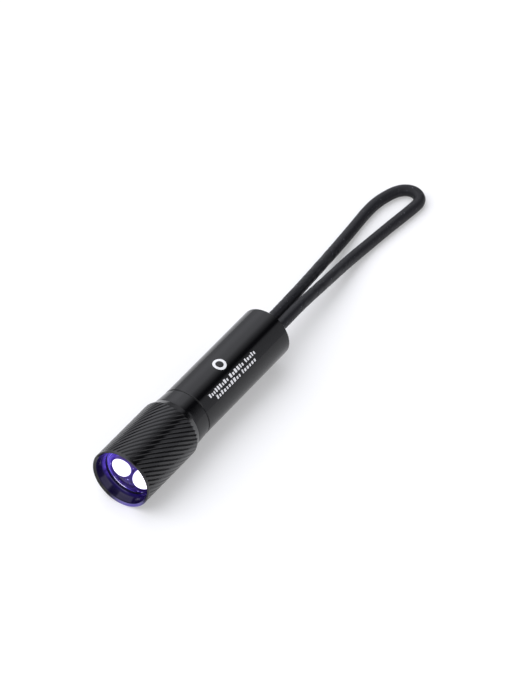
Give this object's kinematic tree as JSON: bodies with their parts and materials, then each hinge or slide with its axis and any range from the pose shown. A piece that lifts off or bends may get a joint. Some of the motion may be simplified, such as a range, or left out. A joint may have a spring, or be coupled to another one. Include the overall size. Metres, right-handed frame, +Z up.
{
  "type": "uv curing lamp",
  "caption": "Pocket ultraviolet torch for curing resin: fluted zoom head with a domed lens, twist switch at the neck, smooth barrel and a wrist cord loop at the tail.",
  "frame": {"origin": "on the floor under the torch's axis, half way along the metal body, with the wrist cord left out", "axes": "+X along the beam, +Z up, torch lying on its head with its cord laid down behind it"},
  "size_m": [0.1794, 0.0229, 0.021],
  "materials": {
    "black_anodised": "satin",
    "bare_aluminium": "machined",
    "clear_lens": "polished",
    "black_rubber": "matt",
    "spring_steel": "bright",
    "brass": "bright",
    "cell_steel": "nickel plated",
    "cell_wrap": "gloss",
    "board_mask": "white solder mask",
    "driver_laminate": "green solder mask",
    "emitter_body": "ceramic white",
    "emitter_dome": "clear silicone, lit violet",
    "black_plastic": "matt",
    "ferrite": "matt",
    "capacitor_tan": "matt",
    "red_lead": "gloss",
    "black_lead": "gloss",
    "fibre_washer": "matt",
    "cord_braid": "braided, slightly glossy",
    "white_ink": "printed on the barrel"
  },
  "bodies": {
    "barrel": {"barrel_tube": "black_anodised", "barrel_seal": "black_rubber", "cord_bushing": "black_rubber", "cord_ferrule": "brass", "spring_plate": "brass", "tail_spring": "spring_steel", "wrist_cord": "cord_braid"},
    "cell": {"cell_can": "cell_steel", "cell_wrap": "cell_wrap", "cell_positive_cap": "cell_steel", "cell_insulator": "fibre_washer"},
    "neck": {"neck_tube": "black_anodised", "neck_o_ring": "black_rubber", "stop_ring": "spring_steel", "led_pill": "bare_aluminium", "led_board": "board_mask", "board_screws": "spring_steel", "led_package": "emitter_body", "led_dome": "emitter_dome", "led_gasket": "black_plastic", "led_lead_red": "red_lead", "led_lead_black": "black_lead", "driver_board": "driver_laminate", "driver_ring": "brass", "driver_coil": "ferrite", "driver_chip": "black_plastic", "driver_capacitors": "capacitor_tan", "positive_contact": "brass"},
    "head": {"head_shell": "black_anodised", "lens": "clear_lens", "lens_seal": "black_rubber", "lens_retaining_ring": "black_anodised"}
  },
  "joints": [
    {"name": "neck_advance", "type": "slide", "parent": "barrel", "child": "cell", "axis": [1, 0, 0], "range_m": [0, 0.000333], "deforming": ["tail_spring"]},
    {"name": "neck_twist", "type": "hinge", "parent": "cell", "child": "neck", "pos_m": [0, 0, 0.0105], "axis": [1, 0, 0], "range_deg": [0, 120]},
    {"name": "head_zoom", "type": "slide", "parent": "neck", "child": "head", "axis": [1, 0, 0], "range_m": [0, 0.006]}
  ],
  "couplings": [
    {"joint": "neck_twist", "follows": "neck_advance", "rad_per_m": 6283.2}
  ]
}
